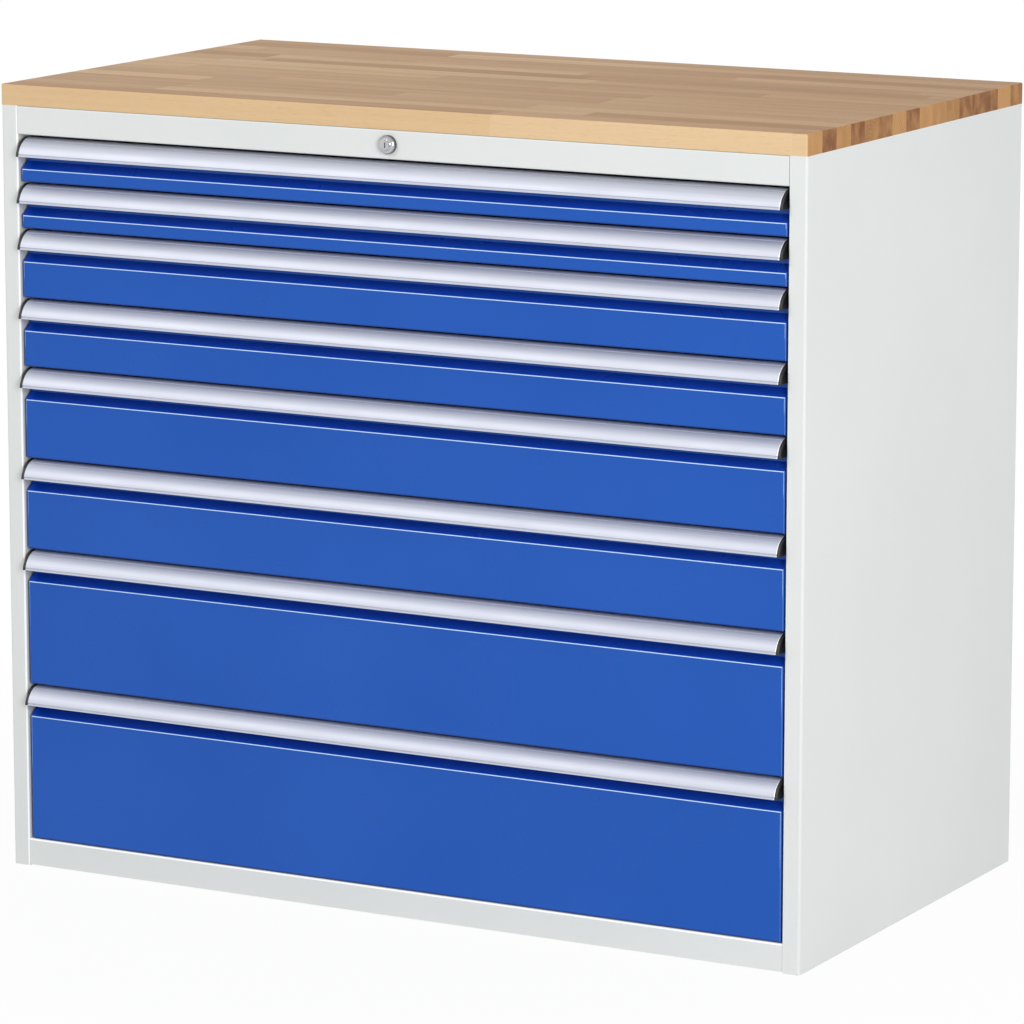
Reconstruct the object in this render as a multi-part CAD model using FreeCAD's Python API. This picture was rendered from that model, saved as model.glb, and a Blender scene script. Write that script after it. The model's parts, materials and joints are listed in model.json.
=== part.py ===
"""Heavy-duty workshop drawer cabinet with eight drawers under a solid beech worktop.

Millimetres, +Z up, the drawers open towards -Y. The origin is the middle of the
footprint on the floor, taken over everything that sticks out, grip rails included.
"""

import math
import os

import FreeCAD
import Part

# Overall body
width = 1145.0
depth = 640.0
height = 1030.0
worktop_thickness = 27.0
worktop_round = 2.0

# Sheet metal of the body
body_sheet = 1.5
back_sheet = 1.2
post_width = 24.0
post_depth = 32.0
post_lip = 12.0
post_inner_bend = 2.5
corner_bend = 3.5
rear_flange = 20.0
foot_flange = 20.0
weld_gap = 0.2

# Front frame: the rail that carries the lock and the rail at the floor
lock_rail_height = 37.0
lock_rail_return = 18.0
floor_rail_top = 36.5
floor_rail_clear = 1.5
floor_rail_recess = 0.6
rail_bend = 2.5
pan_flange = 15.0

# Drawer fronts, from the top one down
front_pitches = [60.0, 60.0, 90.0, 90.0, 120.0, 120.0, 180.0, 210.0]
front_sheet = 1.2
front_gap = 3.2
top_clear = 4.2
bottom_clear = 1.0
side_clear = 3.5
front_recess = 2.8
front_bend = 2.2
web_setback = 16.5
web_bend = 1.0
fold_drop = 41.0
fold_rise = 10.0
web_top_drop = 1.0

# Extruded grip rail along the top of each front, and its end caps
grip_radius = 27.0
grip_reach = 10.5
grip_height = 23.5
grip_wall = 1.8
grip_bead = 1.3
grip_web_height = 22.0
groove_width = 0.9
groove_depth = 0.6
top_groove_drop = 2.8
lip_groove_rise = 3.2
cap_thickness = 3.5

# Drawer trays
tray_sheet = 1.2
tray_to_back = 33.6
tray_floor_rise = 2.0
tray_top_drop = 5.0
hem_height = 8.0

# Telescopic runners: cabinet member, middle member and drawer member
runner_sheet = 1.6
runner_height = 36.0
runner_to_back = 39.3
runner_axis_rise = 20.0
post_pass = 0.6
member_gap = 1.0
running_gap = 0.3
middle_width = 9.1
drawer_member_width = 9.6
drawer_member_end = 8.0
runner_space = 12.0
cabinet_lip = 1.5
post_to_runner = 2.0

# Uprights that carry the runners inside the body
upright_sheet = 1.5
upright_face = 30.0
upright_foot = 12.0
upright_inset = 40.0

# Screws that hold the worktop, driven from below
screw_radius = 2.5
screw_hole_radius = 3.0
screw_depth = 18.0
screw_head_radius = 5.0
screw_head_height = 3.0
screw_columns = 3
screw_rows = 2
screw_inset_x = 110.0
screw_inset_y = 90.0

# Cylinder lock in the middle of the lock rail
rosette_radius = 12.0
rosette_rise = 8.5
rosette_rim = 4.5
barrel_radius = 9.5
barrel_length = 24.0
barrel_fit = 0.1
nut_radius = 14.0
nut_height = 4.0
plug_radius = 5.5
plug_proud = 0.3
key_slot_width = 1.6
key_slot_height = 7.0
key_slot_depth = 4.0
turning_gap = 0.05

# Shaft from the lock to the crank at the back, and the bracket that carries it
shaft_radius = 4.0
crank_radius = 8.0
crank_thickness = 4.0
crank_hub = 8.0
crank_tip = 4.5
crank_rounding = 0.75
crank_swing = 90.0
crank_pin_radius = 2.0
crank_to_bar = 1.5
bracket_gap = 2.0
bracket_sheet = 2.0
bracket_width = 30.0
bracket_foot = 16.0

# Locking bar on the back panel, with one hook for each drawer
bar_width = 34.0
bar_thickness = 3.0
bar_slide_gap = 0.3
bar_tail = 60.0
bar_end = 7.0
slot_play = 0.4
hook_width = 12.0
hook_sheet = 3.0
guide_height = 20.0
guide_sheet = 1.5
guide_foot = 12.0
guide_drop = 25.0
guides_under = [2, 4, 7]

# Catch at the back of each drawer, which the hook reaches into
catch_width = 18.0
catch_sheet = 1.5
catch_reach = 15.5
catch_drop = 2.0
catch_foot = 18.0
catch_clear = 0.7
hook_clear = 2.0

# Places worked out from the sizes above
x_left = -width / 2
y_front = (grip_reach - depth) / 2
y_back = y_front + depth
body_top = height - worktop_thickness
deck_bottom = body_top - body_sheet
opening_top = body_top - lock_rail_height
opening_left = x_left + post_width
front_left = opening_left + side_clear
front_face = y_front + front_recess
back_face = y_back - body_sheet - back_sheet

front_tops = [
    opening_top - top_clear - sum(front_pitches[:n]) for n in range(len(front_pitches))
]
front_bottoms = [z + front_gap for z in front_tops[1:]] + [floor_rail_top + bottom_clear]

web_face = y_front + web_setback
web_back = web_face + front_sheet
tray_rear = back_face - tray_to_back

middle_outer = opening_left + post_pass
cabinet_outer = middle_outer - member_gap - runner_sheet
tray_outer = middle_outer + runner_space
runner_front = y_front + post_depth + post_to_runner
runner_rear = back_face - runner_to_back
cabinet_half = runner_height / 2
middle_half = cabinet_half - runner_sheet - running_gap
drawer_half = middle_half - runner_sheet - running_gap

lock_z = body_top - lock_rail_height / 2
bar_back = back_face - bar_slide_gap
bar_front = bar_back - bar_thickness
bar_lift = 2 * crank_radius * math.sin(math.radians(crank_swing / 2))
crank_back = bar_front - crank_to_bar
crank_front = crank_back - crank_thickness
crank_near = crank_radius * math.cos(math.radians(crank_swing / 2))
slot_half = crank_pin_radius + slot_play
slot_z = lock_z - bar_lift / 2
bar_x = (crank_near + crank_radius) / 2

catch_lip = bar_lift - hook_clear + catch_sheet + catch_clear
hook_rise = catch_lip - catch_sheet
hook_tip = tray_rear + (catch_reach - hook_sheet) / 2

bead_drop = grip_height - grip_bead
bead_arm = math.sqrt(
    (grip_radius - grip_bead) ** 2 - (grip_radius - bead_drop) ** 2
)
grip_axis = y_front - grip_reach + grip_bead + bead_arm
grip_flat = min(grip_axis, web_face - grip_wall)


def vector(plane, u, v, w):
    """A point on an outline: 'plan' looks down, 'side' along X and 'front' along Y."""
    if plane == "plan":
        return FreeCAD.Vector(u, v, w)
    if plane == "side":
        return FreeCAD.Vector(w, u, v)
    return FreeCAD.Vector(u, w, v)


def unit(start, end):
    """Direction from one outline point to the next."""
    du = end[0] - start[0]
    dv = end[1] - start[1]
    length = math.hypot(du, dv)
    return du / length, dv / length


def rounded(before, here, after):
    """Start, middle and end of the arc that rounds the corner HERE, or its point if sharp."""
    radius = sum(here[2:])
    if radius <= 0:
        return [here[:2]]
    back = unit(here, before)
    ahead = unit(here, after)
    half = math.acos(back[0] * ahead[0] + back[1] * ahead[1]) / 2
    reach = radius / math.tan(half)
    middle = unit((0, 0), (back[0] + ahead[0], back[1] + ahead[1]))
    inward = radius / math.sin(half) - radius
    return [
        (here[0] + back[0] * reach, here[1] + back[1] * reach),
        (here[0] + middle[0] * inward, here[1] + middle[1] * inward),
        (here[0] + ahead[0] * reach, here[1] + ahead[1] * reach),
    ]


def prism(points, plane, start, end):
    """Solid with a closed outline of (u, v) or (u, v, corner radius), from START to END."""
    corners = [
        rounded(points[n - 1], point, points[(n + 1) % len(points)])
        for n, point in enumerate(points)
    ]
    edges = []
    for n, corner in enumerate(corners):
        places = [vector(plane, u, v, start) for u, v in corner]
        if len(places) == 3:
            edges.append(Part.Arc(*places).toShape())
        following = vector(plane, *corners[(n + 1) % len(corners)][0], start)
        if (following - places[-1]).Length > 1e-6:
            edges.append(Part.LineSegment(places[-1], following).toShape())
    return Part.Face(Part.Wire(edges)).extrude(vector(plane, 0, 0, end - start))


def folded(path, sheet, plane, start, end):
    """Sheet folded along PATH, its thickness on the left of the path, or right if negative.

    A corner with a third value is bent to that radius, and one without is sharp.
    """
    ways = [unit(path[n], path[n + 1]) for n in range(len(path) - 1)]
    sides = [(-v * sheet, u * sheet) for u, v in ways]
    inner = [(path[0][0] + sides[0][0], path[0][1] + sides[0][1])]
    for n in range(1, len(path) - 1):
        (u1, v1), (u2, v2) = ways[n - 1], ways[n]
        turn = u1 * v2 - v1 * u2
        gap_u = sides[n][0] - sides[n - 1][0]
        gap_v = sides[n][1] - sides[n - 1][1]
        run = (gap_u * v2 - gap_v * u2) / turn
        u = path[n][0] + sides[n - 1][0] + u1 * run
        v = path[n][1] + sides[n - 1][1] + v1 * run
        grown = -abs(sheet) if turn * sheet > 0 else abs(sheet)
        bend = [max(radius + grown, 0) for radius in path[n][2:]]
        inner.append((u, v, *bend))
    inner.append((path[-1][0] + sides[-1][0], path[-1][1] + sides[-1][1]))
    return prism(list(path) + inner[::-1], plane, start, end)


def box(x, y, z):
    """Block between two X, two Y and two Z values."""
    return Part.makeBox(
        x[1] - x[0], y[1] - y[0], z[1] - z[0], FreeCAD.Vector(x[0], y[0], z[0])
    )


def rod(radius, start, length, way):
    """Round bar of RADIUS from the point START, LENGTH long in the direction WAY."""
    return Part.makeCylinder(radius, length, FreeCAD.Vector(*start), FreeCAD.Vector(*way))


def mirrored(shape):
    """The same piece on the other side of the cabinet."""
    return shape.mirror(FreeCAD.Vector(0, 0, 0), FreeCAD.Vector(1, 0, 0))


def joined(shapes):
    """One solid from touching shapes, with the seams between flush faces removed."""
    return shapes[0].fuse(shapes[1:]).removeSplitter()


def both(shape):
    """A left piece and its mirror image, as separate solids."""
    return Part.makeCompound([shape, mirrored(shape)])


# Worktop and its screws


def screw_places():
    """Where the worktop screws stand, in rows across the deck."""
    step_x = (width - 2 * screw_inset_x) / (screw_columns - 1)
    step_y = (depth - 2 * screw_inset_y) / (screw_rows - 1)
    return [
        (x_left + screw_inset_x + column * step_x, y_front + screw_inset_y + row * step_y)
        for column in range(screw_columns)
        for row in range(screw_rows)
    ]


def worktop():
    """Solid beech top with eased edges and pilot holes for its screws."""
    slab = box((x_left, -x_left), (y_front, y_back), (body_top, height))
    middle = (body_top + height) / 2
    slab = slab.makeFillet(worktop_round, [e for e in slab.Edges if e.BoundBox.ZMax > middle])
    pilots = [
        rod(screw_radius, (x, y, body_top), screw_depth, (0, 0, 1)) for x, y in screw_places()
    ]
    return slab.cut(pilots)


def hexagon(radius, x, y):
    """Corners of a hexagon about (x, y)."""
    return [
        (x + radius * math.cos(math.pi * n / 3), y + radius * math.sin(math.pi * n / 3))
        for n in range(6)
    ]


def worktop_screws():
    """Hexagon-head wood screws up through the deck into the worktop."""
    screws = []
    for x, y in screw_places():
        head = prism(
            hexagon(screw_head_radius, x, y), "plan", deck_bottom - screw_head_height, deck_bottom
        )
        shank = rod(screw_radius, (x, y, deck_bottom), body_sheet + screw_depth, (0, 0, 1))
        screws.append(joined([head, shank]))
    return Part.makeCompound(screws)


# Sheet-metal body


def side_panel():
    """Left side: one sheet folded round into the front post and the rear flange."""
    wall = folded(
        [
            (x_left + post_width - post_lip, y_front + post_depth),
            (x_left + post_width, y_front + post_depth, post_inner_bend),
            (x_left + post_width, y_front, post_inner_bend),
            (x_left, y_front, corner_bend),
            (x_left, y_back, corner_bend),
            (x_left + rear_flange, y_back),
        ],
        -body_sheet,
        "plan",
        0,
        body_top,
    )
    foot = box(
        (x_left + body_sheet / 2, x_left + foot_flange),
        (y_front + post_depth, back_face),
        (0, body_sheet),
    )
    return joined([wall, foot])


def pan(path):
    """Sheet folded along PATH between the posts, with wings that reach the sides behind them."""
    top = max(v for u, v, *bend in path)
    middle = folded(path, -body_sheet, "side", opening_left + weld_gap, -opening_left - weld_gap)
    edge = x_left + body_sheet + weld_gap
    wing = folded(
        [(edge, top - pan_flange), (edge, top, rail_bend), (opening_left + weld_gap, top)],
        -body_sheet,
        "front",
        y_front + post_depth + weld_gap,
        back_face - weld_gap,
    )
    return joined([middle, wing, mirrored(wing)])


def shaft_bracket():
    """Angle under the deck, with the rear bearing hole of the lock shaft."""
    face = crank_front - bracket_gap
    angle = folded(
        [
            (face, lock_z - bracket_width / 2),
            (face, deck_bottom),
            (face - bracket_foot, deck_bottom),
        ],
        bracket_sheet,
        "side",
        -bracket_width / 2,
        bracket_width / 2,
    )
    return angle.cut(rod(shaft_radius + turning_gap, (0, face, lock_z), bracket_foot, (0, -1, 0)))


def top_panel():
    """Deck under the worktop, folded down in front into the rail that holds the lock."""
    deck = pan(
        [
            (y_front + lock_rail_return, opening_top),
            (y_front, opening_top, rail_bend),
            (y_front, body_top, rail_bend),
            (back_face - weld_gap, body_top),
        ]
    )
    holes = [
        rod(screw_hole_radius, (x, y, body_top), body_sheet, (0, 0, -1))
        for x, y in screw_places()
    ]
    holes.append(rod(barrel_radius + barrel_fit, (0, y_front, lock_z), body_sheet, (0, 1, 0)))
    return joined([deck, shaft_bracket()]).cut(holes)


def base_panel():
    """Floor of the body, folded down in front into the rail at the floor."""
    front = y_front + floor_rail_recess
    rear = back_face - weld_gap
    return pan(
        [
            (front, floor_rail_clear),
            (front, floor_rail_top, rail_bend),
            (rear, floor_rail_top, rail_bend),
            (rear, floor_rail_top - pan_flange),
        ]
    )


def hook_foot(n):
    """Underside of the locking bar's hook for drawer N, at rest."""
    lip_end = front_tops[n] - tray_top_drop - catch_drop - catch_lip
    return lip_end - hook_clear - hook_rise - hook_sheet


def bar_guide(n):
    """Strap on the back panel, in which the locking bar slides, below the hook of drawer N."""
    near = bar_front - bar_slide_gap
    half = bar_width / 2 + bar_slide_gap
    low = hook_foot(n) - guide_drop - guide_height
    return folded(
        [
            (bar_x - half - guide_foot, back_face - guide_sheet),
            (bar_x - half - guide_sheet, back_face - guide_sheet),
            (bar_x - half - guide_sheet, near - guide_sheet),
            (bar_x + half + guide_sheet, near - guide_sheet),
            (bar_x + half + guide_sheet, back_face - guide_sheet),
            (bar_x + half + guide_foot, back_face - guide_sheet),
        ],
        guide_sheet,
        "plan",
        low,
        low + guide_height,
    )


def back_panel():
    """Rear sheet on the inside of the rear flanges, with the locking bar's guides welded on."""
    edge = x_left + corner_bend + weld_gap
    sheet = box(
        (edge, -edge),
        (back_face, back_face + back_sheet),
        (floor_rail_clear, body_top - weld_gap),
    )
    return joined([sheet] + [bar_guide(n) for n in guides_under])


def runner_uprights():
    """Hat-section uprights on the side sheets, one near each end of the runners."""
    foot = x_left + body_sheet + upright_sheet
    half = upright_face / 2
    uprights = []
    for y in (
        runner_front + upright_inset,
        runner_rear - upright_inset,
    ):
        uprights.append(
            folded(
                [
                    (foot, y - half - upright_foot),
                    (foot, y - half),
                    (cabinet_outer, y - half),
                    (cabinet_outer, y + half),
                    (foot, y + half),
                    (foot, y + half + upright_foot),
                ],
                upright_sheet,
                "plan",
                floor_rail_top,
                body_top - pan_flange,
            )
        )
    return Part.makeCompound([both(upright) for upright in uprights])


# Telescopic runners


def runner_z(n):
    """Height of the middle line of drawer N's runners."""
    return front_bottoms[n] + tray_floor_rise + runner_axis_rise


def cabinet_member(n):
    """Outer channel with turned-in lips, fixed to the uprights."""
    z = runner_z(n)
    rim = middle_outer + middle_width + running_gap + runner_sheet
    tip = cabinet_half - runner_sheet - cabinet_lip
    return folded(
        [
            (rim, z + tip),
            (rim, z + cabinet_half),
            (cabinet_outer, z + cabinet_half),
            (cabinet_outer, z - cabinet_half),
            (rim, z - cabinet_half),
            (rim, z - tip),
        ],
        runner_sheet,
        "front",
        runner_front,
        runner_rear,
    )


def middle_member(n):
    """Channel that runs inside the cabinet member and carries the drawer member."""
    z = runner_z(n)
    rim = middle_outer + middle_width
    return folded(
        [
            (rim, z + middle_half),
            (middle_outer, z + middle_half),
            (middle_outer, z - middle_half),
            (rim, z - middle_half),
        ],
        runner_sheet,
        "front",
        runner_front,
        runner_rear,
    )


def drawer_member(n):
    """Channel on the tray's side wall, open towards the body."""
    z = runner_z(n)
    rim = tray_outer - drawer_member_width
    return folded(
        [
            (rim, z - drawer_half),
            (tray_outer, z - drawer_half),
            (tray_outer, z + drawer_half),
            (rim, z + drawer_half),
        ],
        runner_sheet,
        "front",
        web_back + running_gap,
        tray_rear - drawer_member_end,
    )


# Drawers


def drawer_catch(n):
    """Bent strap on the tray's rear wall that the locking hook reaches into."""
    top = front_tops[n] - tray_top_drop - catch_drop
    return folded(
        [
            (tray_rear, top - catch_foot),
            (tray_rear, top),
            (tray_rear + catch_reach, top),
            (tray_rear + catch_reach, top - catch_lip),
        ],
        -catch_sheet,
        "side",
        bar_x - catch_width / 2,
        bar_x + catch_width / 2,
    )


def drawer_front(n):
    """Folded front: lower face, sloping shelf behind the grip and the web that carries it."""
    top = front_tops[n]
    low = front_bottoms[n]
    fold = top - fold_drop
    sheet = folded(
        [
            (web_back, low),
            (front_face, low, front_bend),
            (front_face, fold, front_bend),
            (web_face, fold + fold_rise, web_bend),
            (web_face, top - web_top_drop),
        ],
        -front_sheet,
        "side",
        front_left,
        -front_left,
    )
    cheek = prism(
        [
            (web_back, low),
            (front_face, low, front_bend),
            (front_face, fold, front_bend),
            (web_face, fold + fold_rise),
            (web_back, fold + fold_rise),
        ],
        "side",
        front_left,
        front_left + front_sheet,
    )
    rounded_plan = prism(
        [
            (front_left, web_back),
            (front_left, front_face, front_bend),
            (-front_left, front_face, front_bend),
            (-front_left, web_back),
        ],
        "plan",
        low,
        top,
    )
    return joined([sheet, cheek, mirrored(cheek)]).common(rounded_plan)


def grip_sector(top, radius, x_start, x_end):
    """The part of a round bar about the grip's axis that lies in front of it, above the bead."""
    bar = rod(radius, (x_start, grip_axis, top - grip_radius), x_end - x_start, (1, 0, 0))
    quarter = box(
        (x_start, x_end),
        (grip_axis - grip_radius, min(grip_axis, web_face)),
        (top - bead_drop, top),
    )
    return bar.common(quarter)


def groove(top, drop):
    """Fine V groove along the grip's curved face, DROP below its top."""
    angle = math.acos((grip_radius - drop) / grip_radius)
    points = []
    for radius, shift in ((1, -1), (1, 1), (-1, 0)):
        reach = grip_radius + radius * groove_depth
        turn = angle + shift * groove_width / grip_radius
        points.append(
            (
                grip_axis - reach * math.sin(turn),
                top - grip_radius + reach * math.cos(turn),
            )
        )
    return prism(points, "side", front_left, -front_left)


def drawer_grip(n):
    """Extruded awning grip: web on the front, and a curved face that ends in a bead."""
    top = front_tops[n]
    start = front_left + cap_thickness
    wall = grip_sector(top, grip_radius, start, -start)
    wall = wall.cut(
        rod(
            grip_radius - grip_wall, (start, grip_axis, top - grip_radius), -2 * start, (1, 0, 0)
        )
    )
    web = box(
        (start, -start), (web_face - grip_wall, web_face), (top - grip_web_height, top)
    )
    flat = box((start, -start), (grip_flat, web_face), (top - grip_wall, top))
    bead = rod(grip_bead, (start, grip_axis - bead_arm, top - bead_drop), -2 * start, (1, 0, 0))
    grooves = [
        groove(top, top_groove_drop),
        groove(top, grip_height - lip_groove_rise),
    ]
    return joined([wall, web, flat, bead]).cut(grooves)


def drawer_end_cap(n):
    """Plastic plate that closes the left end of the grip, cut level at the lip."""
    top = front_tops[n]
    end = front_left + cap_thickness
    lip_y = grip_axis - bead_arm - grip_bead
    plate = box((front_left, end), (lip_y, web_face), (top - grip_height, top - bead_drop))
    block = box((front_left, end), (grip_flat, web_face), (top - bead_drop, top))
    return joined([grip_sector(top, grip_radius, front_left, end), plate, block])


def drawer_tray(n):
    """Welded tray with a doubled hem along the top of its walls."""
    low = front_bottoms[n] + tray_floor_rise
    high = front_tops[n] - tray_top_drop
    hem = high - hem_height

    def block(inset, bottom, top):
        side = tray_outer + inset
        return box((side, -side), (web_back + inset, tray_rear - inset), (bottom, top))

    inside = block(tray_sheet, low + tray_sheet, hem)
    mouth = block(2 * tray_sheet, hem, high)
    return block(0, low, high).cut([inside, mouth])


# Central lock


def lock_barrel():
    """Domed rosette on a barrel through the lock rail, held by a hexagon nut behind it."""
    dome = (rosette_radius**2 + (rosette_rise - rosette_rim) ** 2) / (
        2 * (rosette_rise - rosette_rim)
    )
    ball = Part.makeSphere(dome, FreeCAD.Vector(0, y_front - rosette_rise + dome, lock_z))
    rosette = rod(rosette_radius, (0, y_front, lock_z), rosette_rise, (0, -1, 0)).common(ball)
    barrel = rod(barrel_radius, (0, y_front, lock_z), barrel_length, (0, 1, 0))
    bore = rod(
        plug_radius + turning_gap,
        (0, y_front - rosette_rise, lock_z),
        rosette_rise + barrel_length,
        (0, 1, 0),
    )
    nut = prism(
        hexagon(nut_radius, 0, lock_z),
        "front",
        y_front + body_sheet,
        y_front + body_sheet + nut_height,
    )
    return Part.makeCompound([joined([rosette, barrel]).cut(bore), nut.cut(barrel)])


def lock_shaft():
    """Key plug, the shaft to the back of the body and its crank, as three solids."""
    nose = y_front - rosette_rise - plug_proud
    tail = y_front + barrel_length
    plug = rod(plug_radius, (0, nose, lock_z), tail - nose, (0, 1, 0))
    slot = box(
        (-key_slot_width / 2, key_slot_width / 2),
        (nose, nose + key_slot_depth),
        (lock_z - key_slot_height / 2, lock_z + key_slot_height / 2),
    )
    shaft = rod(shaft_radius, (0, tail, lock_z), crank_back - tail, (0, 1, 0))
    arm = prism(
        [
            (-crank_hub, lock_z - crank_hub, crank_hub * crank_rounding),
            (crank_radius + crank_tip, lock_z - crank_tip, crank_tip * crank_rounding),
            (crank_radius + crank_tip, lock_z + crank_tip, crank_tip * crank_rounding),
            (-crank_hub, lock_z + crank_hub, crank_hub * crank_rounding),
        ],
        "front",
        crank_front,
        crank_back,
    )
    pin = rod(
        crank_pin_radius,
        (crank_radius, crank_back, lock_z),
        crank_to_bar + bar_thickness,
        (0, 1, 0),
    )
    crank = joined([arm, pin]).cut(shaft)
    crank.rotate(
        FreeCAD.Vector(0, 0, lock_z), FreeCAD.Vector(0, 1, 0), crank_swing / 2
    )
    return Part.makeCompound([plug.cut(slot), shaft, crank])


def lock_bar():
    """Flat bar that the crank lifts, with a hook under the catch of each drawer."""
    bar = box(
        (bar_x - bar_width / 2, bar_x + bar_width / 2),
        (bar_front, bar_back),
        (hook_foot(-1) - bar_tail, slot_z + slot_half + bar_end),
    )
    hooks = [
        folded(
            [
                (bar_front, hook_foot(n)),
                (hook_tip, hook_foot(n)),
                (hook_tip, hook_foot(n) + hook_sheet + hook_rise),
            ],
            -hook_sheet,
            "side",
            bar_x - hook_width / 2,
            bar_x + hook_width / 2,
        )
        for n in range(len(front_pitches))
    ]
    slot = box(
        (crank_near - slot_half, crank_radius + slot_half),
        (bar_front, bar_back),
        (slot_z - slot_half, slot_z + slot_half),
    )
    return joined([bar] + hooks).cut(slot)


def nodes():
    """Every named piece of the cabinet."""
    drawers = range(len(front_pitches))
    pieces = {
        "worktop": worktop(),
        "worktop_screws": worktop_screws(),
        "side_panel_left": side_panel(),
        "side_panel_right": mirrored(side_panel()),
        "top_panel": top_panel(),
        "base_panel": base_panel(),
        "back_panel": back_panel(),
        "runner_uprights": runner_uprights(),
        "cabinet_runners": Part.makeCompound([both(cabinet_member(n)) for n in drawers]),
        "lock_barrel": lock_barrel(),
        "lock_shaft": lock_shaft(),
        "lock_bar": lock_bar(),
    }
    for n in drawers:
        name = f"drawer_{n + 1}"
        pieces[f"{name}_front"] = drawer_front(n)
        pieces[f"{name}_grip"] = drawer_grip(n)
        pieces[f"{name}_end_caps"] = both(drawer_end_cap(n))
        pieces[f"{name}_tray"] = drawer_tray(n)
        pieces[f"{name}_runners"] = Part.makeCompound(
            [both(drawer_member(n)), drawer_catch(n)]
        )
        pieces[f"{name}_middle_runners"] = both(middle_member(n))
    return pieces


os.makedirs("parts", exist_ok=True)
for node, shape in nodes().items():
    shape.exportStep(f"parts/{node}.step")
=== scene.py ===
import json
import math

import bmesh
import bpy
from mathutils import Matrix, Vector


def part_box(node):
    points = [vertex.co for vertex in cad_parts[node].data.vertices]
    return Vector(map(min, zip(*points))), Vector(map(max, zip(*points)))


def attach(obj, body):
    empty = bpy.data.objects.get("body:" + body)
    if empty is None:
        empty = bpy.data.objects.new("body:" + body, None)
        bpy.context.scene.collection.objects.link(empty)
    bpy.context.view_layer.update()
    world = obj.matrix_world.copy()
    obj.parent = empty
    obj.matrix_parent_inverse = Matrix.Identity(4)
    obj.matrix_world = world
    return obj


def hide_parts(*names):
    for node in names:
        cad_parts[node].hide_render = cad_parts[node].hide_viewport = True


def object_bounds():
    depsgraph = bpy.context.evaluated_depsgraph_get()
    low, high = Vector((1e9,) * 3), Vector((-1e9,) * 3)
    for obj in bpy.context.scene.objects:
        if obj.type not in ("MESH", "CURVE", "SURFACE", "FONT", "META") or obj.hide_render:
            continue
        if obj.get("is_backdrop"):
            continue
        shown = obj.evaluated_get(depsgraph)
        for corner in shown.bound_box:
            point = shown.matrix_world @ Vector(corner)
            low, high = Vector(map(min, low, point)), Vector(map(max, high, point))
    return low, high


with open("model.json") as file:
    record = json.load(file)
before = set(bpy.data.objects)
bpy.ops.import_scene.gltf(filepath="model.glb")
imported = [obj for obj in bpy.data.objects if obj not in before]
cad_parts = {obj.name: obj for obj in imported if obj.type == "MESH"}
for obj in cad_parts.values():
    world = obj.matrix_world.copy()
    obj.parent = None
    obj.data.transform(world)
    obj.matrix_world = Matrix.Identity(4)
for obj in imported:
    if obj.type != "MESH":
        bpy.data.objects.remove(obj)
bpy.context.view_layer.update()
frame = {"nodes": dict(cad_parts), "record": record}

# Sizes in millimetres, as in the part's source
MM = 0.001
Y_FRONT = -314.75
GRIP_RADIUS = 27.0
GRIP_REACH = 10.5
GRIP_HEIGHT = 23.5
GRIP_WALL = 1.8
GRIP_BEAD = 1.3
GRIP_WEB = 22.0
WEB_SETBACK = 16.5
GRIP_LIP = 2.6
GROOVES = [(2.6, 0.7, 0.8), (20.7, 0.8, 1.5)]
FRONT_SETBACK = 2.8
CHAMFER = 1.0
LOCK_RADIUS = 12.0
LOCK_RISE = 8.5
LOCK_RIM = 2.2
BARREL_RADIUS = 9.5
PLUG_BORE = 5.6
NUT_RADIUS = 14.0
NUT_HEIGHT = 4.0
BODY_SHEET = 1.5
DRAWERS = range(1, 9)

BEAD_DROP = GRIP_HEIGHT - GRIP_BEAD
BEAD_ARM = math.sqrt((GRIP_RADIUS - GRIP_BEAD) ** 2 - (GRIP_RADIUS - BEAD_DROP) ** 2)
GRIP_AXIS = Y_FRONT - GRIP_REACH + GRIP_BEAD + BEAD_ARM
WEB_FACE = Y_FRONT + WEB_SETBACK


# Node trees


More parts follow.
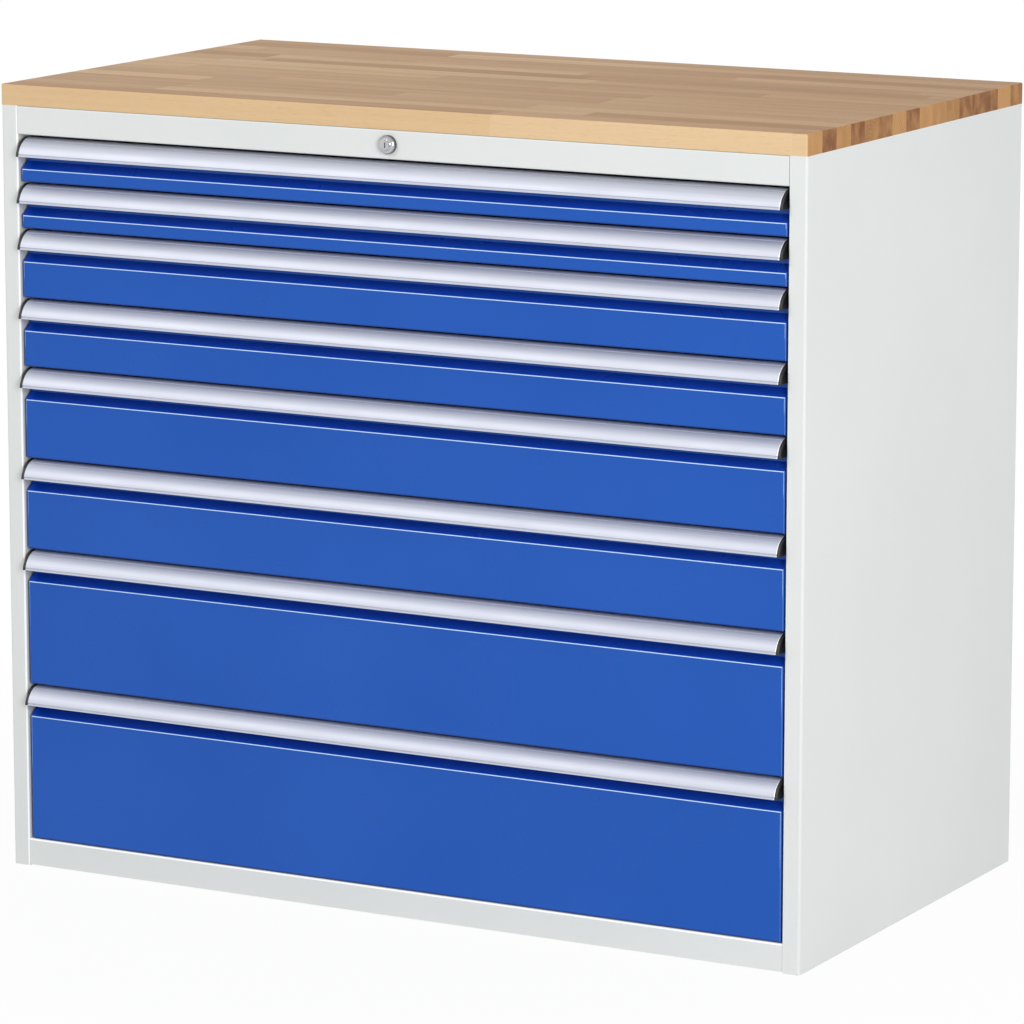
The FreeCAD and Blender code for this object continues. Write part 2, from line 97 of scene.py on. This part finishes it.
class Tree:
    """Short calls for the nodes of one material."""

    def __init__(self, name):
        self.material = bpy.data.materials.new(name)
        self.material.use_nodes = True
        self.tree = self.material.node_tree
        self.shader = self.tree.nodes["Principled BSDF"]
        self.places = self.node("ShaderNodeTexCoord").outputs["Object"]

    def node(self, kind, **settings):
        made = self.tree.nodes.new(kind)
        for key, value in settings.items():
            setattr(made, key, value)
        return made

    def set(self, socket, value):
        """Links or sets one input."""
        if isinstance(value, bpy.types.NodeSocket):
            self.tree.links.new(value, socket)
        else:
            socket.default_value = value

    def calc(self, operation, *values):
        made = self.node("ShaderNodeMath", operation=operation)
        for socket, value in zip(made.inputs, values):
            self.set(socket, value)
        return made.outputs[0]

    def between(self, value, low, high, new_low=0.0, new_high=1.0):
        made = self.node("ShaderNodeMapRange", clamp=True)
        for socket, number in zip(made.inputs, (value, low, high, new_low, new_high)):
            self.set(socket, number)
        return made.outputs[0]

    def mix(self, share, first, second, blend="MIX"):
        made = self.node("ShaderNodeMix", data_type="RGBA", blend_type=blend)
        self.set(made.inputs[0], share)
        self.set(made.inputs[6], first)
        self.set(made.inputs[7], second)
        return made.outputs[2]

    def split(self, vector=None):
        made = self.node("ShaderNodeSeparateXYZ")
        self.set(made.inputs[0], self.places if vector is None else vector)
        return made.outputs

    def join(self, x, y, z):
        made = self.node("ShaderNodeCombineXYZ")
        for socket, value in zip(made.inputs, (x, y, z)):
            self.set(socket, value)
        return made.outputs[0]

    def noise(self, stretch, vector=None, detail=2.0, roughness=0.5):
        """Noise whose cells are STRETCH cells per metre along each axis."""
        mapping = self.node("ShaderNodeMapping")
        self.set(mapping.inputs["Vector"], self.places if vector is None else vector)
        mapping.inputs["Scale"].default_value = stretch
        made = self.node("ShaderNodeTexNoise")
        self.set(made.inputs["Vector"], mapping.outputs[0])
        made.inputs["Scale"].default_value = 1.0
        made.inputs["Detail"].default_value = detail
        made.inputs["Roughness"].default_value = roughness
        return made.outputs["Fac"]

    def random(self, vector):
        """One random number for each place of VECTOR."""
        made = self.node("ShaderNodeTexWhiteNoise", noise_dimensions="3D")
        self.set(made.inputs["Vector"], vector)
        return made.outputs["Value"]

    def bump(self, height, distance, strength=1.0):
        made = self.node("ShaderNodeBump")
        made.inputs["Strength"].default_value = strength
        made.inputs["Distance"].default_value = distance
        self.set(made.inputs["Height"], height)
        self.set(self.shader.inputs["Normal"], made.outputs[0])

    def bends(self, flat, full):
        """One on the round of an upright bend, nought on the flat faces."""
        normal = self.split(self.node("ShaderNodeTexCoord").outputs["Normal"])
        x, y, z = (self.calc("ABSOLUTE", share) for share in normal)
        turned = self.between(self.calc("MAXIMUM", x, y), flat, full)
        return self.calc("MULTIPLY", turned, self.between(z, 0.3, 0.1))

    def put(self, **inputs):
        for name, value in inputs.items():
            self.set(self.shader.inputs[name.replace("_", " ")], value)


def colour(red, green, blue):
    """Linear colour of 8-bit sRGB values."""
    def linear(value):
        share = value / 255
        return share / 12.92 if share <= 0.04045 else ((share + 0.055) / 1.055) ** 2.4

    return (linear(red), linear(green), linear(blue), 1.0)


def powder_coat(name, pale, deep, low_rough, high_rough, peel):
    """Sprayed paint: faint change of tone, uneven gloss, fine orange peel, and painted white
    highlights on the rounds of upright bends and on up-facing bends near the floor.
    """
    t = Tree(name)
    x, y, z = t.split()
    outer = t.between(t.calc("ABSOLUTE", x), 0.556, 0.562, 1.0, 0.0)
    cloud = t.noise((3.0, 3.0, 3.0), detail=3.0)
    grain = t.noise((420.0, 420.0, 420.0), detail=1.0)
    tone = t.between(t.calc("ADD", cloud, t.calc("MULTIPLY", grain, 0.35)), 0.4, 0.95)
    # Painted highlight: the rounds of upright bends are whitened, but not at the body's outer
    # corners.
    painted_highlight = t.calc("MULTIPLY", t.bends(0.995, 0.95), outer)
    up = t.split(t.node("ShaderNodeTexCoord").outputs["Normal"])[2]
    # Painted highlight too on up-facing bends below 9 cm, such as the top bend of the floor rail.
    sill_highlight = t.calc("MULTIPLY", t.between(up, 0.1, 0.3), t.between(up, 0.99, 0.93))
    sill_highlight = t.calc("MULTIPLY", sill_highlight, t.between(z, 0.09, 0.08))
    painted_highlight = t.calc("MAXIMUM", painted_highlight, sill_highlight)
    t.put(
        Base_Color=t.mix(painted_highlight, t.mix(tone, deep, pale), colour(255, 255, 255)),
        Roughness=t.between(t.noise((9.0, 9.0, 9.0)), 0.3, 0.7, low_rough, high_rough),
    )
    t.bump(grain, peel)
    return t.material


def front_enamel(name):
    """Blue paint with painted highlights on the shelf bends and upright edges, and painted shade on
    the shelf and on the bends that face down.
    """
    t = Tree(name)
    cloud = t.noise((3.0, 3.0, 3.0), detail=3.0)
    grain = t.noise((420.0, 420.0, 420.0), detail=1.0)
    normal = t.node("ShaderNodeTexCoord").outputs["Normal"]
    side, forth, up = t.split(normal)
    side = t.calc("ABSOLUTE", side)
    # Painted highlight on the convex bend from the lower face up to the shelf, kept off the upright
    # edges and the concave bend at the web.
    shelf_bend_highlight = t.calc("MULTIPLY", t.between(up, 0.03, 0.12), t.between(up, 0.79, 0.70))
    shelf_bend_highlight = t.calc("MULTIPLY", shelf_bend_highlight, t.between(side, 0.15, 0.08))
    face = Y_FRONT + FRONT_SETBACK
    y = t.split()[1]
    outside = t.between(y, (face + 7) * MM, (face + 5) * MM)
    round_part = t.between(y, (face + 0.04) * MM, (face + 0.15) * MM)
    shelf_bend_highlight = t.calc("MULTIPLY", shelf_bend_highlight, t.calc("MULTIPLY", outside, round_part))
    # Painted shade on bends that face down.
    low_bend_shade = t.calc("MULTIPLY", t.between(up, -0.08, -0.3), t.between(up, -0.98, -0.8))
    # Faint painted highlight on the upright edges of the fronts.
    upright = t.calc("MULTIPLY", t.between(side, 0.1, 0.4), t.between(side, 0.98, 0.85))
    flat = t.mix(t.between(cloud, 0.3, 0.7), colour(24, 86, 180), colour(15, 81, 174))
    # Painted shade on the shelf, which faces up under the grip: a darker, deeper blue.
    flat = t.mix(t.calc("MULTIPLY", t.between(up, 0.70, 0.79), 0.75), flat, colour(0, 52, 174))
    flat = t.mix(t.calc("MULTIPLY", low_bend_shade, 0.5), flat, colour(2, 40, 112))
    flat = t.mix(t.calc("MULTIPLY", upright, 0.18), flat, colour(150, 186, 235))
    t.put(
        Base_Color=t.mix(shelf_bend_highlight, flat, colour(202, 229, 255)),
        Roughness=t.between(t.noise((9.0, 9.0, 9.0)), 0.3, 0.7, 0.26, 0.32),
        Specular_IOR_Level=0.3,
    )
    t.bump(grain, 0.00002)
    return t.material


def bare_metal(name, pale, deep, low_rough, high_rough, stretch, lines, metallic=1.0):
    """Metal with fine lines drawn out along its longest STRETCH, and a painted white highlight on
    faces turned partly along X, such as chamfered ends.
    """
    t = Tree(name)
    streak = t.noise(stretch, detail=3.0)
    patch = t.noise((14.0, 14.0, 14.0))
    # Painted highlight: faces that turn partly along X, such as chamfered ends, are whitened.
    across = t.calc("ABSOLUTE", t.split(t.node("ShaderNodeTexCoord").outputs["Normal"])[0])
    chamfer_highlight = t.calc("MULTIPLY", t.between(across, 0.25, 0.5), t.between(across, 0.98, 0.9))
    t.put(
        Base_Color=t.mix(chamfer_highlight, t.mix(t.between(streak, 0.3, 0.7), deep, pale), colour(255, 255, 255)),
        Metallic=metallic,
        Roughness=t.between(t.calc("MULTIPLY", patch, streak), 0.12, 0.4, low_rough, high_rough),
    )
    t.bump(streak, lines)
    return t.material


def polished_chrome(name):
    """Bright chrome, with painted shade darkening it towards the rim of the turned head."""
    t = Tree(name)
    haze = t.noise((300.0, 300.0, 300.0))
    normal = t.node("ShaderNodeTexCoord").outputs["Normal"]
    # Painted shade: darker where the normal turns away from the front, towards the rim.
    rim = t.between(t.calc("ABSOLUTE", t.split(normal)[1]), 0.8, 0.25)
    t.put(
        Base_Color=t.mix(
            rim, t.mix(haze, colour(186, 186, 188), colour(206, 206, 207)), colour(98, 99, 104)
        ),
        Metallic=1.0,
        Roughness=t.between(haze, 0.3, 0.7, 0.12, 0.18),
    )
    t.bump(haze, 0.000002)
    return t.material


def black_plastic(name):
    """Moulded plastic with a fine spark-eroded grain."""
    t = Tree(name)
    grain = t.noise((900.0, 900.0, 900.0), detail=2.0)
    t.put(
        Base_Color=t.mix(t.between(grain, 0.3, 0.7), colour(21, 22, 24), colour(36, 37, 39)),
        Roughness=t.between(grain, 0.3, 0.7, 0.36, 0.5),
    )
    t.bump(grain, 0.00003)
    return t.material


def beech(name):
    """Solid beech glued up from staves of uneven length, with end grain at the ends."""
    t = Tree(name)
    x, y, z = t.split()
    stave = 0.040
    across = t.calc("DIVIDE", t.calc("SUBTRACT", y, Y_FRONT * MM), stave)
    row = t.calc("FLOOR", across)
    row_random = t.random(t.join(row, 3.7, 1.3))
    length = t.between(t.random(t.join(row, 8.1, 5.9)), 0.0, 1.0, 0.34, 0.62)
    along = t.calc("ADD", t.calc("DIVIDE", x, length), t.calc("MULTIPLY", row_random, 7.0))
    column = t.calc("FLOOR", along)
    tone = t.random(t.join(row, column, 0.5))
    red = t.random(t.join(row, column, 9.5))

    # Each stave has its own grain, so the noise is moved by its number
    shift = t.calc("MULTIPLY", t.random(t.join(row, column, 4.5)), 20.0)
    moved = t.join(t.calc("ADD", x, shift), t.calc("ADD", y, shift), z)
    fibre = t.noise((5.0, 260.0, 260.0), moved, detail=4.0, roughness=0.6)
    band = t.noise((1.6, 38.0, 38.0), moved, detail=2.0)
    fleck = t.noise((90.0, 900.0, 900.0), moved, detail=0.0)

    pale = t.mix(red, colour(229, 197, 156), colour(221, 185, 143))
    deep = t.mix(red, colour(200, 163, 123), colour(192, 151, 112))
    plank = t.mix(t.between(tone, 0.1, 0.95), pale, deep)
    streaks = t.between(
        t.calc("ADD", t.calc("MULTIPLY", fibre, 0.55), t.calc("MULTIPLY", band, 0.45)), 0.3, 0.7
    )
    plank = t.mix(t.calc("MULTIPLY", streaks, 0.46), plank, colour(162, 123, 92))
    plank = t.mix(t.between(fleck, 0.62, 0.72, 0.0, 0.25), plank, colour(150, 112, 82))
    # Painted shade: the planks grow darker towards +X.
    plank = t.mix(t.between(x, -0.45, 0.5), plank, (0.83, 0.765, 0.71, 1.0), "MULTIPLY")

    # Growth rings on the end grain, about a middle of each stave's own
    heart_y = t.calc("MULTIPLY", t.calc("SUBTRACT", t.random(t.join(row, 1.5, 2.5)), 0.5), 0.09)
    local_y = t.calc("SUBTRACT", t.calc("SUBTRACT", across, row), 0.5)
    from_y = t.calc("SUBTRACT", t.calc("MULTIPLY", local_y, stave), heart_y)
    heart_z = t.calc("ADD", t.calc("MULTIPLY", t.random(t.join(row, 6.5, 7.5)), 0.08), 0.99)
    from_z = t.calc("SUBTRACT", z, heart_z)
    reach = t.calc("SQRT", t.calc("ADD", t.calc("POWER", from_y, 2.0), t.calc("POWER", from_z, 2.0)))
    wobble = t.calc("MULTIPLY", t.noise((60.0, 60.0, 60.0), moved), 0.006)
    rings = t.calc("SINE", t.calc("MULTIPLY", t.calc("ADD", reach, wobble), 1300.0))
    end_tone = t.random(t.join(row, 12.5, 11.5))
    end_tone = t.calc("POWER", end_tone, 1.5)
    end = t.mix(t.between(end_tone, 0.0, 0.9), colour(194, 145, 92), colour(130, 82, 46))
    ring_share = t.between(t.random(t.join(row, 21.5, 3.5)), 0.3, 1.0, 0.04, 0.34)
    ring_share = t.calc("MULTIPLY", t.between(rings, -0.2, 1.0), ring_share)
    end = t.mix(ring_share, end, colour(116, 74, 46))
    mottle = t.noise((45.0, 70.0, 45.0), moved, detail=3.0)
    end = t.mix(t.between(mottle, 0.4, 0.7, 0.0, 0.45), end, colour(202, 152, 96))

    # The front edge is the side of one clear stave
    edge = t.mix(t.between(tone, 0.0, 1.0), colour(229, 198, 157), colour(220, 187, 144))
    edge = t.mix(t.calc("MULTIPLY", streaks, 0.35), edge, colour(206, 168, 124))
    edge = t.mix(t.between(fleck, 0.62, 0.74, 0.0, 0.15), edge, colour(176, 136, 96))

    normal = t.node("ShaderNodeTexCoord").outputs["Normal"]
    normal_x, normal_y, normal_z = t.split(normal)
    to_end = t.between(t.calc("ABSOLUTE", normal_x), 0.6, 0.8)
    to_edge = t.between(t.calc("ABSOLUTE", normal_y), 0.6, 0.8)
    wood = t.mix(to_end, t.mix(to_edge, plank, edge), end)
    # Painted shade on the faces turned down, under the worktop.
    under_shade = t.between(normal_z, -0.15, -0.6)
    wood = t.mix(t.calc("MULTIPLY", under_shade, 0.8), wood, colour(132, 98, 70))

    # Glue lines between the staves
    side_gap = t.calc("MULTIPLY", t.calc("PINGPONG", t.calc("ADD", across, 0.5), 0.5), stave)
    side_gap = t.calc("SUBTRACT", stave / 2, side_gap)
    butt = t.calc("SUBTRACT", 0.5, t.calc("PINGPONG", t.calc("ADD", along, 0.5), 0.5))
    butt_gap = t.calc("MULTIPLY", butt, length)
    line = t.calc("MINIMUM", side_gap, t.calc("ADD", butt_gap, t.calc("MULTIPLY", to_end, 1.0)))
    width = t.between(t.random(t.join(row, column, 14.5)), 0.4, 1.0, 0.0005, 0.0016)
    glued = t.between(t.calc("DIVIDE", line, width), 0.0, 1.0, 0.36, 0.0)
    glued = t.calc("MULTIPLY", glued, t.calc("SUBTRACT", 1.0, to_edge))
    wood = t.mix(glued, wood, t.mix(to_end, colour(128, 94, 66), colour(206, 166, 120)))

    t.put(
        Base_Color=wood,
        Roughness=t.between(fibre, 0.3, 0.7, 0.5, 0.66),
        Specular_IOR_Level=0.25,
    )
    t.bump(t.calc("ADD", fibre, t.calc("MULTIPLY", glued, -1.0)), 0.00008)
    return t.material


grey_paint = powder_coat(
    "grey_paint", colour(224, 226, 224), colour(218, 221, 218), 0.32, 0.40, 0.00002
)
blue_paint = front_enamel("blue_paint")
tray_paint = powder_coat(
    "tray_paint", colour(196, 200, 201), colour(188, 192, 193), 0.4, 0.5, 0.00004
)
aluminium = bare_metal(
    "anodised_aluminium", colour(207, 210, 221), colour(199, 202, 214), 0.5, 0.56,
    (1.5, 500.0, 500.0), 0.000002, metallic=0.6,
)
zinc = bare_metal(
    "zinc_plated_steel", colour(205, 207, 208), colour(178, 181, 184), 0.3, 0.48,
    (60.0, 12.0, 60.0), 0.00001,
)
chrome = polished_chrome("chrome")
lock_steel = bare_metal(
    "turned_steel", colour(206, 206, 210), colour(184, 184, 190), 0.2, 0.3,
    (500.0, 40.0, 500.0), 0.000004,
)
plastic = black_plastic("black_plastic")
wood = beech("beech_staves")


# Meshes


def new_piece(name, mesh, material):
    """Object of a bmesh, smooth but for its edges."""
    bmesh.ops.recalc_face_normals(mesh, faces=mesh.faces)
    data = bpy.data.meshes.new(name)
    mesh.to_mesh(data)
    mesh.free()
    data.shade_smooth()
    data.set_sharp_from_angle(angle=math.radians(24))
    data.materials.append(material)
    made = bpy.data.objects.new(name, data)
    bpy.context.scene.collection.objects.link(made)
    made.modifiers.new("even_normals", "WEIGHTED_NORMAL").keep_sharp = True
    return made


def loft(stations):
    """Closed bmesh through outlines of equal length, given as (x, [(y, z), ...]) in millimetres."""
    mesh = bmesh.new()
    rings = [
        [mesh.verts.new((x * MM, y * MM, z * MM)) for y, z in outline] for x, outline in stations
    ]
    for near, far in zip(rings, rings[1:]):
        for n in range(len(near)):
            m = (n + 1) % len(near)
            mesh.faces.new((near[n], near[m], far[m], far[n]))
    ends = [mesh.faces.new(rings[0]), mesh.faces.new(rings[-1])]
    return mesh, ends


def around(centre, radius, degrees):
    """Point about CENTRE, by its angle from the upright towards the front."""
    angle = math.radians(degrees)
    return centre[0] - radius * math.sin(angle), centre[1] + radius * math.cos(angle)


def arc(centre, radius, start, end, steps):
    return [
        around(centre, radius, start + (end - start) * n / steps) for n in range(steps + 1)
    ]


def grip_outline(top, inset):
    """Section of the grip, with its curved face INSET millimetres in."""
    centre = (GRIP_AXIS, top - GRIP_RADIUS)
    outer = GRIP_RADIUS - inset
    inner = GRIP_RADIUS - GRIP_WALL
    lip = Y_FRONT - GRIP_REACH
    end = math.degrees(math.asin((GRIP_AXIS - lip) / GRIP_RADIUS))
    points = []
    before = 0.0
    for drop, width, depth in GROOVES:
        angle = math.degrees(math.acos((GRIP_RADIUS - drop) / GRIP_RADIUS))
        half = math.degrees(width / GRIP_RADIUS)
        steps = max(2, round((angle - half - before) / 2.5))
        points += arc(centre, outer, before, angle - half, steps)
        floor = max(outer - depth, inner + 0.15)
        points.append(around(centre, floor, angle - half * 0.6))
        points.append(around(centre, floor, angle + half * 0.6))
        before = angle + half
    points += arc(centre, outer, before, end, 3)
    low = top - GRIP_HEIGHT + inset
    points += arc((lip + inset + 0.5, low + 0.5), 0.5, 90, 180, 5)
    points.append((lip + GRIP_LIP, low))
    corner = math.degrees(math.asin((GRIP_AXIS - WEB_FACE + GRIP_WALL) / inner))
    points += arc(centre, inner, end - 3, corner, 28)
    low = top - GRIP_WEB
    points += [
        (WEB_FACE - GRIP_WALL, low),
        (WEB_FACE, low),
        (WEB_FACE, top),
    ]
    return points


def cap_outline(top, inset):
    """Section of an end cap, with its outer edge INSET millimetres in."""
    centre = (GRIP_AXIS, top - GRIP_RADIUS)
    end = math.degrees(math.acos((GRIP_RADIUS - BEAD_DROP) / GRIP_RADIUS))
    low = top - GRIP_HEIGHT + inset
    lip = Y_FRONT - GRIP_REACH + inset
    points = arc(centre, GRIP_RADIUS - inset, 0.0, end, 36)
    points += [(lip, low), (WEB_FACE - inset, low), (WEB_FACE - inset, top - inset)]
    return points


def lofted(name, outline, x_start, x_end, chamfer, material, body, recess=None):
    """Piece with one section all along X and its two end edges chamfered."""
    full = outline(0.0)
    small = outline(chamfer)
    mesh, ends = loft([
        (x_start, small),
        (x_start + chamfer, full),
        (x_end - chamfer, full),
        (x_end, small),
    ])
    if recess:
        outside = ends[0] if abs(x_start) > abs(x_end) else ends[1]
        bmesh.ops.recalc_face_normals(mesh, faces=mesh.faces)
        bmesh.ops.inset_region(mesh, faces=[outside], thickness=recess[0] * MM, depth=0)
        bmesh.ops.inset_region(mesh, faces=[outside], thickness=0.0002, depth=-recess[1] * MM)
    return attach(new_piece(name, mesh, material), body)


# Grips and their caps

for n in DRAWERS:
    body = f"drawer_{n}"
    low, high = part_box(f"drawer_{n}_grip")
    top = high.z / MM
    start = low.x / MM
    grip = lofted(
        f"grip_rail_{n}", lambda inset: grip_outline(top, inset), start, -start, CHAMFER,
        aluminium, body,
    )
    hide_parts(f"drawer_{n}_grip")
    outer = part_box(f"drawer_{n}_end_caps")[0].x / MM
    for side, sign in (("left", 1), ("right", -1)):
        ends = sorted((sign * outer, sign * start))
        cap = lofted(
            f"grip_cap_{side}_{n}", lambda inset: cap_outline(top, inset), *ends, 0.4,
            plastic, body, recess=(1.6, 0.6),
        )
        if side == "left":
            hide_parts(f"drawer_{n}_end_caps")


# Turned head and barrel of the lock, and its nut


def lathe(name, profile, centre, material, steps=96):
    """Piece turned about the Y axis through CENTRE, from a closed profile of (radius, y)."""
    mesh = bmesh.new()
    rings = []
    for n in range(steps):
        angle = 2 * math.pi * n / steps
        rings.append([
            mesh.verts.new((
                centre.x + radius * math.cos(angle) * MM,
                y * MM,
                centre.z + radius * math.sin(angle) * MM,
            ))
            for radius, y in profile
        ])
    for near, far in zip(rings, rings[1:] + rings[:1]):
        for n in range(len(profile)):
            m = (n + 1) % len(profile)
            mesh.faces.new((near[n], near[m], far[m], far[n]))
    return new_piece(name, mesh, material)


low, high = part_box("lock_barrel")
lock_centre = (low + high) / 2
dome = []
for n in range(21):
    share = (PLUG_BORE + 0.4 + (LOCK_RADIUS - PLUG_BORE - 0.4) * n / 20) / LOCK_RADIUS
    share = math.sin(math.pi / 2 * share)
    rise = LOCK_RIM + (LOCK_RISE - LOCK_RIM) * math.sqrt(max(0.0, 1 - share**2.6))
    dome.append((LOCK_RADIUS * share, Y_FRONT - rise))
head = lathe(
    "lock_head",
    [
        (PLUG_BORE, high.y / MM),
        (PLUG_BORE, dome[0][1] + 0.4),
        *dome,
        (LOCK_RADIUS, Y_FRONT),
        (BARREL_RADIUS, Y_FRONT),
        (BARREL_RADIUS, high.y / MM),
    ],
    lock_centre,
    chrome,
)
nut_front = Y_FRONT + BODY_SHEET
nut = lathe(
    "lock_nut",
    [
        (BARREL_RADIUS, nut_front),
        (NUT_RADIUS, nut_front),
        (NUT_RADIUS, nut_front + NUT_HEIGHT),
        (BARREL_RADIUS, nut_front + NUT_HEIGHT),
    ],
    lock_centre,
    zinc,
    steps=6,
)
for piece, slot in ((head, "lock_chrome"), (nut, "zinc_steel")):
    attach(piece, "cabinet")
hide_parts("lock_barrel")


# Materials and smooth bends of the solids


def smoothing():
    """Node group that joins the corners and smooths the bends, but keeps real edges sharp."""
    group = bpy.data.node_groups.new("smooth_bends", "GeometryNodeTree")
    group.interface.new_socket("Geometry", in_out="INPUT", socket_type="NodeSocketGeometry")
    group.interface.new_socket("Geometry", in_out="OUTPUT", socket_type="NodeSocketGeometry")
    nodes = group.nodes
    entry = nodes.new("NodeGroupInput")
    merge = nodes.new("GeometryNodeMergeByDistance")
    merge.inputs["Distance"].default_value = 0.000002
    faces = nodes.new("GeometryNodeSetShadeSmooth")
    angle = nodes.new("GeometryNodeInputMeshEdgeAngle")
    sharp = nodes.new("FunctionNodeCompare")
    sharp.data_type = "FLOAT"
    sharp.operation = "GREATER_THAN"
    sharp.inputs["B"].default_value = math.radians(32)
    edges = nodes.new("GeometryNodeSetShadeSmooth")
    edges.domain = "EDGE"
    edges.inputs["Shade Smooth"].default_value = False
    leave = nodes.new("NodeGroupOutput")
    link = group.links.new
    link(entry.outputs[0], merge.inputs["Geometry"])
    link(merge.outputs["Geometry"], faces.inputs["Geometry"])
    link(faces.outputs["Geometry"], edges.inputs["Geometry"])
    link(angle.outputs["Unsigned Angle"], sharp.inputs["A"])
    link(sharp.outputs["Result"], edges.inputs["Selection"])
    link(edges.outputs["Geometry"], leave.inputs[0])
    return group


finishes = {
    "beech": wood,
    "body_grey": grey_paint,
    "front_blue": blue_paint,
    "tray_grey": tray_paint,
    "grip_aluminium": aluminium,
    "cap_black": plastic,
    "zinc_steel": zinc,
    "lock_steel": lock_steel,
    "lock_chrome": chrome,
}
node_slots = {row["node"]: row["material_slot"] for row in frame["record"]["subparts"]}
bends = smoothing()
for name, piece in frame["nodes"].items():
    piece.data.materials.clear()
    piece.data.materials.append(finishes[node_slots[name]])
    piece.modifiers.new("bends", "NODES").node_group = bends
    piece.modifiers.new("even_normals", "WEIGHTED_NORMAL").keep_sharp = True


# Floor, light and camera


def floor_material():
    """White studio floor that keeps the shadow of the cabinet."""
    t = Tree("studio_floor")
    cloud = t.noise((2.0, 2.0, 2.0), detail=3.0)
    t.put(
        Base_Color=t.mix(cloud, colour(204, 204, 204), colour(208, 208, 208)),
        Roughness=t.between(cloud, 0.3, 0.7, 0.7, 0.85),
    )
    path = t.node("ShaderNodeLightPath").outputs
    looks = t.calc("MAXIMUM", path["Is Camera Ray"], path["Is Glossy Ray"])
    looks = t.calc("MAXIMUM", looks, path["Is Transmission Ray"])
    glow = t.node("ShaderNodeEmission")
    glow.inputs["Strength"].default_value = 1.0
    x, y, z = t.split()
    away = t.calc("SQRT", t.calc("ADD", t.calc("POWER", x, 2.0), t.calc("POWER", y, 2.0)))
    share = t.between(away, 0.8, 1.6, 0.96, 1.0)
    seen = t.calc("MULTIPLY", looks, share)
    mixed = t.node("ShaderNodeMixShader")
    t.set(mixed.inputs[0], seen)
    t.set(mixed.inputs[1], t.shader.outputs[0])
    t.set(mixed.inputs[2], glow.outputs[0])
    t.set(t.tree.nodes["Material Output"].inputs["Surface"], mixed.outputs[0])
    return t.material


def studio_floor():
    mesh = bmesh.new()
    corners = [(-30, -30), (30, -30), (30, 30), (-30, 30)]
    mesh.faces.new([mesh.verts.new((x, y, -0.0005)) for x, y in corners])
    data = bpy.data.meshes.new("studio_floor")
    mesh.to_mesh(data)
    mesh.free()
    data.materials.append(floor_material())
    floor = bpy.data.objects.new("studio_floor", data)
    bpy.context.scene.collection.objects.link(floor)
    floor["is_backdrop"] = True


def softbox(name, place, size, power, aim=(0, 0, 0.5)):
    light = bpy.data.lights.new(name, "AREA")
    light.shape = "RECTANGLE"
    light.size, light.size_y = size
    light.energy = power
    made = bpy.data.objects.new(name, light)
    made.location = place
    made.rotation_mode = "QUATERNION"
    made.rotation_quaternion = (Vector(aim) - Vector(place)).to_track_quat("-Z", "Y")
    bpy.context.scene.collection.objects.link(made)
    return made


def sky():
    """Even room light, and plain white for the camera and for mirrors past the floor."""
    world = bpy.data.worlds.new("studio")
    world.use_nodes = True
    tree = world.node_tree
    back = tree.nodes["Background"]
    back.inputs["Color"].default_value = (0.97, 0.985, 1.0, 1.0)
    back.inputs["Strength"].default_value = 0.67
    white = tree.nodes.new("ShaderNodeBackground")
    path = tree.nodes.new("ShaderNodeLightPath").outputs
    mixed = tree.nodes.new("ShaderNodeMixShader")
    looks = path["Is Camera Ray"]
    for ray in ("Is Glossy Ray", "Is Transmission Ray"):
        either = tree.nodes.new("ShaderNodeMath")
        either.operation = "MAXIMUM"
        tree.links.new(looks, either.inputs[0])
        tree.links.new(path[ray], either.inputs[1])
        looks = either.outputs[0]
    tree.links.new(looks, mixed.inputs[0])
    tree.links.new(back.outputs[0], mixed.inputs[1])
    tree.links.new(white.outputs[0], mixed.inputs[2])
    tree.links.new(mixed.outputs[0], tree.nodes["World Output"].inputs["Surface"])
    bpy.context.scene.world = world


def camera():
    """Long lens at the photograph's viewing angle, fitted to the cabinet's corners."""
    data = bpy.data.cameras.new("camera")
    data.sensor_width = 36.0
    data.lens = 189.844
    data.clip_end = 100.0
    made = bpy.data.objects.new("camera", data)
    yaw, pitch = math.radians(28.62), math.radians(-10.773)
    made.location = (3.3096, -6.0612, 1.7844)
    made.rotation_euler = (math.pi / 2 + pitch, 0.0, yaw)
    bpy.context.scene.collection.objects.link(made)
    bpy.context.scene.camera = made


studio_floor()
softbox("left_box", (-2.6, -3.9, 3.7), (1.5, 1.2), 55.0)
softbox("right_box", (4.3, -3.6, 1.9), (1.9, 2.6), 150.0)
sky()
camera()
bpy.context.scene.view_settings.view_transform = "Standard"

low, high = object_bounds()
